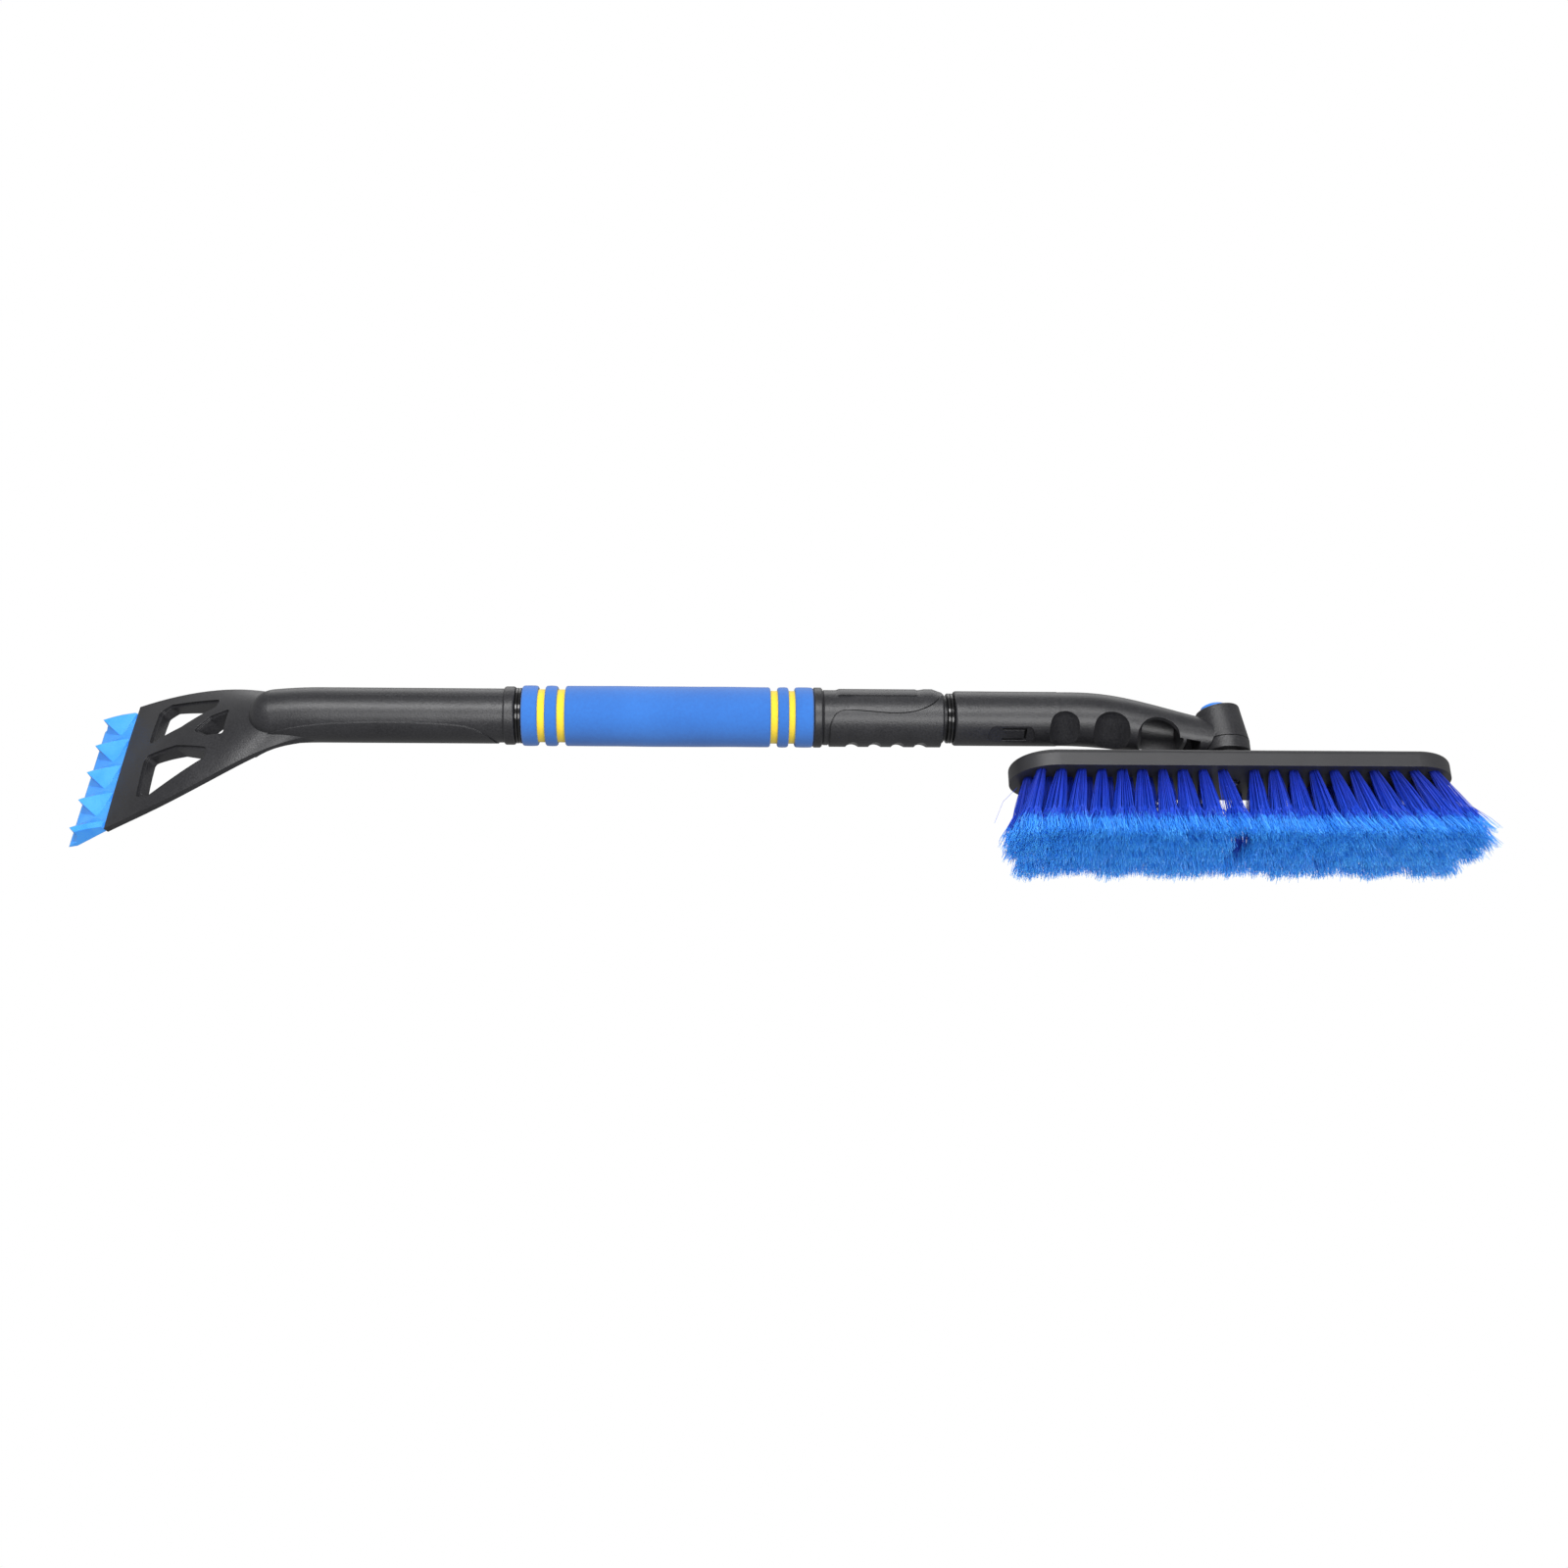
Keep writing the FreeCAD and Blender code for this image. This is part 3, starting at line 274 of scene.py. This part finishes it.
def closed_cell_foam(name, dark, light):
    """Matte foam skin: tiny cells, a few open pores and a soft sheen."""
    material, tree, shader = new_material(name)
    where = place_texture(tree)
    cells = voronoi(tree, where, 1500.0)
    pores = noise(tree, where, scale=620.0, detail=3.0, roughness=0.65)
    patches = noise(tree, where, scale=26.0, detail=3.0)
    tone = tree.nodes.new("ShaderNodeMath")
    tone.operation = "MULTIPLY_ADD"
    tone.inputs[1].default_value = 0.45
    tree.links.new(patches, tone.inputs[0])
    tree.links.new(scaled(tree, pores, 0.0, 0.55), tone.inputs[2])
    colours = [(0.25, dark), (0.75, light)]
    tree.links.new(ramp(tree, tone.outputs["Value"], colours), shader.inputs["Base Color"])
    tree.links.new(scaled(tree, pores, 0.82, 0.98), shader.inputs["Roughness"])
    shader.inputs["Sheen Weight"].default_value = 0.18
    shader.inputs["Sheen Roughness"].default_value = 0.6
    bump(tree, shader, [(cells, 0.35, 0.12 * MM), (pores, 0.30, 0.15 * MM)])
    return material


BRISTLE_HEIGHT = 45.0 * MM      # height at which the filaments reach the navy of the painted shade at their roots


def bristle_plastic():
    """Filament colour by height: azure split ends and royal blue shafts, darkening to navy at the roots as
    painted shade under the board.
    """
    material, tree, shader = new_material("bristle")
    where = place_texture(tree)
    split = tree.nodes.new("ShaderNodeSeparateXYZ")
    tree.links.new(where, split.inputs["Vector"])
    ragged = noise(tree, where, scale=420.0, detail=1.0)
    height = tree.nodes.new("ShaderNodeMath")
    height.operation = "MULTIPLY_ADD"
    height.inputs[1].default_value = 1.0 / BRISTLE_HEIGHT
    tree.links.new(split.outputs["Z"], height.inputs[0])
    tree.links.new(scaled(tree, ragged, -0.16, 0.16), height.inputs[2])
    colours = [
        (0.00, (0.085, 0.480, 1.00)),
        (0.09, (0.038, 0.310, 0.93)),
        (0.18, (0.050, 0.360, 0.98)),
        (0.30, (0.012, 0.075, 0.66)),
        # painted shade: these last two stops darken the filaments towards the board, to navy at the roots
        (0.70, (0.009, 0.038, 0.50)),
        (1.00, (0.005, 0.016, 0.24)),
    ]
    tree.links.new(ramp(tree, height.outputs["Value"], colours), shader.inputs["Base Color"])
    tree.links.new(scaled(tree, ragged, 0.34, 0.52), shader.inputs["Roughness"])
    bump(tree, shader, [(ragged, 0.10, 0.05 * MM)])
    return material


def nylon():
    material, tree, shader = new_material("white_nylon")
    where = place_texture(tree)
    cloud = noise(tree, where, scale=180.0, detail=3.0)
    colours = [(0.3, (0.66, 0.66, 0.62)), (0.7, (0.80, 0.80, 0.77))]
    tree.links.new(ramp(tree, cloud, colours), shader.inputs["Base Color"])
    tree.links.new(scaled(tree, cloud, 0.38, 0.50), shader.inputs["Roughness"])
    bump(tree, shader, [(cloud, 0.08, 0.05 * MM)], 0.2 * MM)
    return material


def plated_steel(name, colour, roughness):
    material, tree, shader = new_material(name)
    where = place_texture(tree)
    grain = noise(tree, where, scale=1600.0, detail=3.0)
    darker = tuple(0.8 * c for c in colour)
    tree.links.new(ramp(tree, grain, [(0.3, darker), (0.7, colour)]), shader.inputs["Base Color"])
    tree.links.new(scaled(tree, grain, roughness - 0.06, roughness + 0.08), shader.inputs["Roughness"])
    shader.inputs["Metallic"].default_value = 1.0
    bump(tree, shader, [(grain, 0.10, 0.02 * MM)])
    return material


FINISHES = {
    "black_plastic": grained_plastic(
        "black_plastic",
        dark=(0.008, 0.008, 0.010),
        light=(0.026, 0.026, 0.029),
        roughness=0.38,
        grain=1000.0,
        depth=0.20 * MM,
        edge_round=0.35 * MM,
    ),
    "board_plastic": grained_plastic(
        "board_plastic",
        dark=(0.016, 0.016, 0.018),
        light=(0.030, 0.030, 0.033),
        roughness=0.42,
        grain=2200.0,
        depth=0.03 * MM,
        edge_round=0.5 * MM,
    ),
    "blue_blade": blade_plastic(),
    "blue_button": button_plastic(),
    "gloss_black": gloss_ring(),
    "black_tube": anodised_tube(),
    "blue_foam": closed_cell_foam("blue_foam", dark=(0.013, 0.105, 0.40), light=(0.024, 0.155, 0.53)),
    "yellow_foam": closed_cell_foam("yellow_foam", dark=(0.72, 0.50, 0.015), light=(0.88, 0.66, 0.035)),
    "bristle": bristle_plastic(),
    "white_nylon": nylon(),
    "zinc_steel": plated_steel("zinc_steel", colour=(0.62, 0.63, 0.65), roughness=0.30),
    "spring_steel": plated_steel("spring_steel", colour=(0.48, 0.48, 0.50), roughness=0.26),
}


def finish_cad_nodes():
    """Gives every CAD node the finish of its material slot."""
    for part in frame["record"]["subparts"]:
        mesh = frame["nodes"][part["node"]].data
        mesh.materials.clear()
        mesh.materials.append(FINISHES[part["material_slot"]])


# ---- mesh helpers --------------------------------------------------------------------------------

def add_piece(name, verts, faces, body, slot, smooth=True):
    """A mesh piece that rides on a body and takes a slot's finish."""
    mesh = bpy.data.meshes.new(name)
    mesh.from_pydata(verts, [], faces)
    mesh.validate()
    if smooth:
        mesh.shade_smooth()
    else:
        mesh.shade_flat()
    mesh.materials.append(FINISHES[slot])
    piece = bpy.data.objects.new(name, mesh)
    bpy.context.scene.collection.objects.link(piece)
    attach(piece, body)
    return piece


def lathe(outline, wave, phase):
    """Turns a foam piece's closed outline about the pole's axis, with a slightly uneven skin."""
    count = len(outline)
    verts = []
    faces = []
    for step in range(FOAM_SEGMENTS):
        angle = 2 * math.pi * step / FOAM_SEGMENTS
        for x, radius, skin in outline:
            broad = math.sin(3 * angle + 90 * x + phase)
            narrow = math.sin(5 * angle - 210 * x + 2 * phase)
            r = radius + wave * skin * (broad + 0.6 * narrow) / 1.6
            verts.append((x, r * math.sin(angle), POLE_Z + r * math.cos(angle)))
        for i in range(count):
            a = step * count + i
            b = step * count + (i + 1) % count
            c = ((step + 1) % FOAM_SEGMENTS) * count + (i + 1) % count
            d = ((step + 1) % FOAM_SEGMENTS) * count + i
            faces.append((a, b, c, d))
    return verts, faces


def foam_outline(x0, x1, inner, outer, round_r, crown, stations):
    """Section of a foam piece: a flat bore, rounded rims and a gently crowned skin.

    Each point is (x, radius, how much of the skin's unevenness it takes).
    """
    outline = [(x0, inner, 0.0), (x0, outer - round_r, 0.4)]
    for step in range(1, RIM_STEPS):
        angle = math.pi / 2 * step / RIM_STEPS
        outline.append(
            (x0 + round_r * (1 - math.cos(angle)), outer - round_r * (1 - math.sin(angle)), 0.8)
        )
    for step in range(stations + 1):
        share = step / stations
        x = x0 + round_r + (x1 - x0 - 2 * round_r) * share
        outline.append((x, outer + crown * (1 - (2 * share - 1) ** 2), 1.0))
    for step in range(RIM_STEPS - 1, 0, -1):
        angle = math.pi / 2 * step / RIM_STEPS
        outline.append(
            (x1 - round_r * (1 - math.cos(angle)), outer - round_r * (1 - math.sin(angle)), 0.8)
        )
    outline += [(x1, outer - round_r, 0.4), (x1, inner, 0.0)]
    return outline


# ---- foam grip -----------------------------------------------------------------------------------

BLUE_FOAM_NODES = (
    "foam_rear_wide_band",
    "foam_rear_slim_band",
    "foam_main_grip",
    "foam_front_slim_band",
    "foam_front_wide_band",
)


def foam_radius(node):
    low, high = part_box(node)
    return (high.z - low.z) / 2


def build_foam():
    core_r = foam_radius("foam_core")
    for index, node in enumerate(BLUE_FOAM_NODES):
        low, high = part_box(node)
        stations = GRIP_STATIONS if node == "foam_main_grip" else FOAM_STATIONS
        inner = core_r + FOAM_INNER_GAP
        outer = foam_radius(node) - 0.5 * FOAM_CROWN
        outline = foam_outline(low.x, high.x, inner, outer, FOAM_ROUND, FOAM_CROWN, stations)
        verts, faces = lathe(outline, FOAM_WAVE, 1.7 * index)
        piece = add_piece("skin_" + node, verts, faces, "scraper_section", "blue_foam")
        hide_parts(node)
    low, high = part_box("foam_core")
    bore = (core_r - CORE_WALL) + CORE_TUBE_GAP
    outline = foam_outline(low.x, high.x, bore, core_r, CORE_ROUND, 0.0, CORE_STATIONS)
    verts, faces = lathe(outline, CORE_WAVE, 0.4)
    piece = add_piece("skin_foam_core", verts, faces, "scraper_section", "yellow_foam")
    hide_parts("foam_core")


# ---- bristles ------------------------------------------------------------------------------------

def tube(verts, faces, points, radii, turn):
    """A three-sided tube along points, capped with a triangle at both ends."""
    start = len(verts)
    rings = len(points)
    axis = (points[-1] - points[0]).normalized()
    side = axis.cross(Vector((0.3, 1.0, 0.2))).normalized()
    other = axis.cross(side)
    for point, radius in zip(points, radii):
        for corner in range(3):
            angle = turn + 2 * math.pi * corner / 3
            verts.append(point + radius * (math.cos(angle) * side + math.sin(angle) * other))
    for ring in range(rings - 1):
        for corner in range(3):
            a = start + 3 * ring + corner
            b = start + 3 * ring + (corner + 1) % 3
            faces.append((a, b, b + 3, a + 3))
    faces.append((start + 3 * rings - 3, start + 3 * rings - 2, start + 3 * rings - 1))
    faces.append((start + 2, start + 1, start))


def in_disc():
    """A random point in the unit disc."""
    radius = math.sqrt(random.random())
    angle = 2 * math.pi * random.random()
    return radius * math.cos(angle), radius * math.sin(angle)


def filament(verts, faces, root, tip, bow):
    """One filament: a bowed shaft that splits into strands near its end."""
    split = root.lerp(tip, SPLIT_AT) + bow * 0.5
    middle = root.lerp(tip, SPLIT_AT / 2) + bow
    turn = random.uniform(0, 2)
    tube(verts, faces, [root, middle, split], [FILAMENT_R, FILAMENT_R, FILAMENT_R * SHAFT_TAPER], turn)
    reach = (tip - split).length
    for _ in range(STRANDS):
        dx, dy = in_disc()
        end = tip + Vector((dx, dy, 0)) * reach * STRAND_SPREAD
        end.z = max(0.0, tip.z + random.uniform(*STRAND_END_Z))
        knee = split.lerp(end, random.uniform(*KNEE_AT)) + Vector((dy, -dx, 0)) * reach * STRAND_KNEE
        tube(verts, faces, [split, knee, end], [STRAND_R, STRAND_R, STRAND_R * TAPER], turn)


def tuft(verts, faces, side, end_lean, x, y):
    """One tuft, fanning from its hole to the working face."""
    share = (x - TUFT_FIRST) / (TUFT_PITCH * TUFTS_PER_BANK)
    lean = -INNER_LEAN + (end_lean + LEAN_EXTRA) * share ** LEAN_POWER + random.gauss(0, TUFT_JITTER)
    outward = y * (1 + SIDE_LEAN[y > 0])
    centre = Vector((side * (x + lean), outward + random.gauss(0, TUFT_JITTER), 0))
    short = random.uniform(0.0, TUFT_RAGGED)
    for _ in range(FILAMENTS):
        dx, dy = in_disc()
        root = Vector((side * x + TUFT_R * dx, y + TUFT_R * dy, TUFT_LENGTH + ROOT_DEPTH))
        jx, jy = in_disc()
        spread_x = (TIP_ORDER * dx + (1 - TIP_ORDER) * jx) * TIP_SPREAD[0]
        spread_y = (TIP_ORDER * dy + (1 - TIP_ORDER) * jy) * TIP_SPREAD[1]
        tip = centre + Vector((spread_x, spread_y, 0))
        tip.z = short + abs(random.gauss(0, TIP_RAGGED))
        bow = Vector((dx, dy, 0)) * random.uniform(*BOW)
        filament(verts, faces, root, tip, bow)


def build_bristles():
    """One piece for each row of each bank; the front bank is the one at +X."""
    for bank, side in {"rear": -1, "front": 1}.items():
        for row, y in enumerate(TUFT_ROWS):
            outer = row in (0, len(TUFT_ROWS) - 1)
            first = TUFT_FIRST if outer else TUFT_FIRST + TUFT_PITCH / 2
            near, far = END_LEAN[bank]
            end_lean = near + (far - near) * row / (len(TUFT_ROWS) - 1)
            verts = []
            faces = []
            for i in range(TUFTS_PER_BANK):
                tuft(verts, faces, side, end_lean, first + i * TUFT_PITCH, y)
            for points in STRAYS.get((bank, row), ()):
                tube(verts, faces, [Vector(p) * MM for p in points], [STRAY_R] * len(points), 0.0)
            name = f"bristles_{bank}_{row + 1}"
            piece = add_piece(name, verts, faces, "brush_head", "bristle", smooth=False)
            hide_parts("bristle_bed")


# ---- stage ---------------------------------------------------------------------------------------

FLOOR_Z = -0.5 * MM
FLOOR_HALF = 6.0
FLOOR_GREY = 0.50
FLOOR_GLOW = 0.50
WORLD_SEEN = 1.0               # strength of the background for the camera
WORLD_LIT = 0.36               # strength of the background as a light


def floor_material():
    """Pale floor that only shows from above, so that a camera below it looks through."""
    material, tree, shader = new_material("floor")
    shader.inputs["Base Color"].default_value = (FLOOR_GREY, FLOOR_GREY, FLOOR_GREY, 1)
    shader.inputs["Emission Color"].default_value = (1, 1, 1, 1)
    shader.inputs["Emission Strength"].default_value = FLOOR_GLOW
    shader.inputs["Roughness"].default_value = 0.9
    clear = tree.nodes.new("ShaderNodeBsdfTransparent")
    side = tree.nodes.new("ShaderNodeNewGeometry")
    mix = tree.nodes.new("ShaderNodeMixShader")
    tree.links.new(side.outputs["Backfacing"], mix.inputs["Fac"])
    tree.links.new(shader.outputs["BSDF"], mix.inputs[1])
    tree.links.new(clear.outputs["BSDF"], mix.inputs[2])
    tree.links.new(mix.outputs["Shader"], tree.nodes["Material Output"].inputs["Surface"])
    return material


def build_floor():
    """The floor takes no part in the object's light or shadows."""
    mesh = bpy.data.meshes.new("floor")
    h = FLOOR_HALF
    corners = [(-h, -h, FLOOR_Z), (h, -h, FLOOR_Z), (h, h, FLOOR_Z), (-h, h, FLOOR_Z)]
    mesh.from_pydata(corners, [], [(0, 1, 2, 3)])
    mesh.materials.append(floor_material())
    floor = bpy.data.objects.new("floor", mesh)
    floor.visible_shadow = False
    floor.visible_diffuse = False
    floor.visible_glossy = False
    bpy.context.scene.collection.objects.link(floor)


def build_world():
    """White background; the light that it gives the object is softer than what the camera sees."""
    world = bpy.data.worlds.new("studio")
    world.use_nodes = True
    tree = world.node_tree
    seen = tree.nodes["Background"]
    seen.inputs["Color"].default_value = (1, 1, 1, 1)
    seen.inputs["Strength"].default_value = WORLD_SEEN
    lit = tree.nodes.new("ShaderNodeBackground")
    lit.inputs["Color"].default_value = (1, 1, 1, 1)
    lit.inputs["Strength"].default_value = WORLD_LIT
    path = tree.nodes.new("ShaderNodeLightPath")
    mix = tree.nodes.new("ShaderNodeMixShader")
    tree.links.new(path.outputs["Is Camera Ray"], mix.inputs["Fac"])
    tree.links.new(lit.outputs["Background"], mix.inputs[1])
    tree.links.new(seen.outputs["Background"], mix.inputs[2])
    tree.links.new(mix.outputs["Shader"], tree.nodes["World Output"].inputs["Surface"])
    bpy.context.scene.world = world


# Area lights: name, place, what it points at, width, height, watts.
SOFTBOXES = (
    ("key", (-0.5, -1.7, 0.45), (-0.25, 0, 0.08), 1.8, 0.45, 30.0),
    ("fill", (0.1, -1.5, -0.75), (-0.2, 0, 0.05), 2.0, 0.6, 26.0),
    ("top", (-0.25, 0.35, 1.5), (-0.25, 0, 0.05), 1.8, 1.0, 9.0),
)


def softbox(name, place, target, width, height, power):
    """A rectangular area light that points at target."""
    light = bpy.data.lights.new(name, "AREA")
    light.shape = "RECTANGLE"
    light.size = width
    light.size_y = height
    light.energy = power
    lamp = bpy.data.objects.new(name, light)
    lamp.location = place
    lamp.rotation_euler = (Vector(target) - Vector(place)).to_track_quat("-Z", "Y").to_euler()
    bpy.context.scene.collection.objects.link(lamp)


def build_lights():
    for name, place, target, width, height, power in SOFTBOXES:
        softbox(name, place, target, width, height, power)


# ---- camera --------------------------------------------------------------------------------------

CAMERA_AT = Vector((-0.2984, -0.9561, -0.3675))
CAMERA_YAW = math.radians(2.71)
CAMERA_PITCH = math.radians(23.20)
CAMERA_ROLL = math.radians(-0.78)
LENS = 42.66


def build_camera():
    """The camera is below the object, in front of it, and looks up at it."""
    cos_p = math.cos(CAMERA_PITCH)
    along_x = math.sin(CAMERA_YAW) * cos_p
    along_y = math.cos(CAMERA_YAW) * cos_p
    forward = Vector((along_x, along_y, math.sin(CAMERA_PITCH)))
    level = Vector((math.cos(CAMERA_YAW), -math.sin(CAMERA_YAW), 0))
    up = level.cross(forward)
    right = math.cos(CAMERA_ROLL) * level + math.sin(CAMERA_ROLL) * up
    top = math.cos(CAMERA_ROLL) * up - math.sin(CAMERA_ROLL) * level
    data = bpy.data.cameras.new("camera")
    data.lens = LENS
    data.sensor_width = 36.0
    data.clip_start = 0.01
    camera = bpy.data.objects.new("camera", data)
    turn = Matrix((right, top, -forward)).transposed().to_4x4()
    camera.matrix_world = Matrix.Translation(CAMERA_AT) @ turn
    bpy.context.scene.collection.objects.link(camera)
    bpy.context.scene.camera = camera


build_camera()
build_world()
build_lights()
build_floor()
finish_cad_nodes()
build_foam()
build_bristles()
bpy.context.scene.view_settings.view_transform = "Standard"
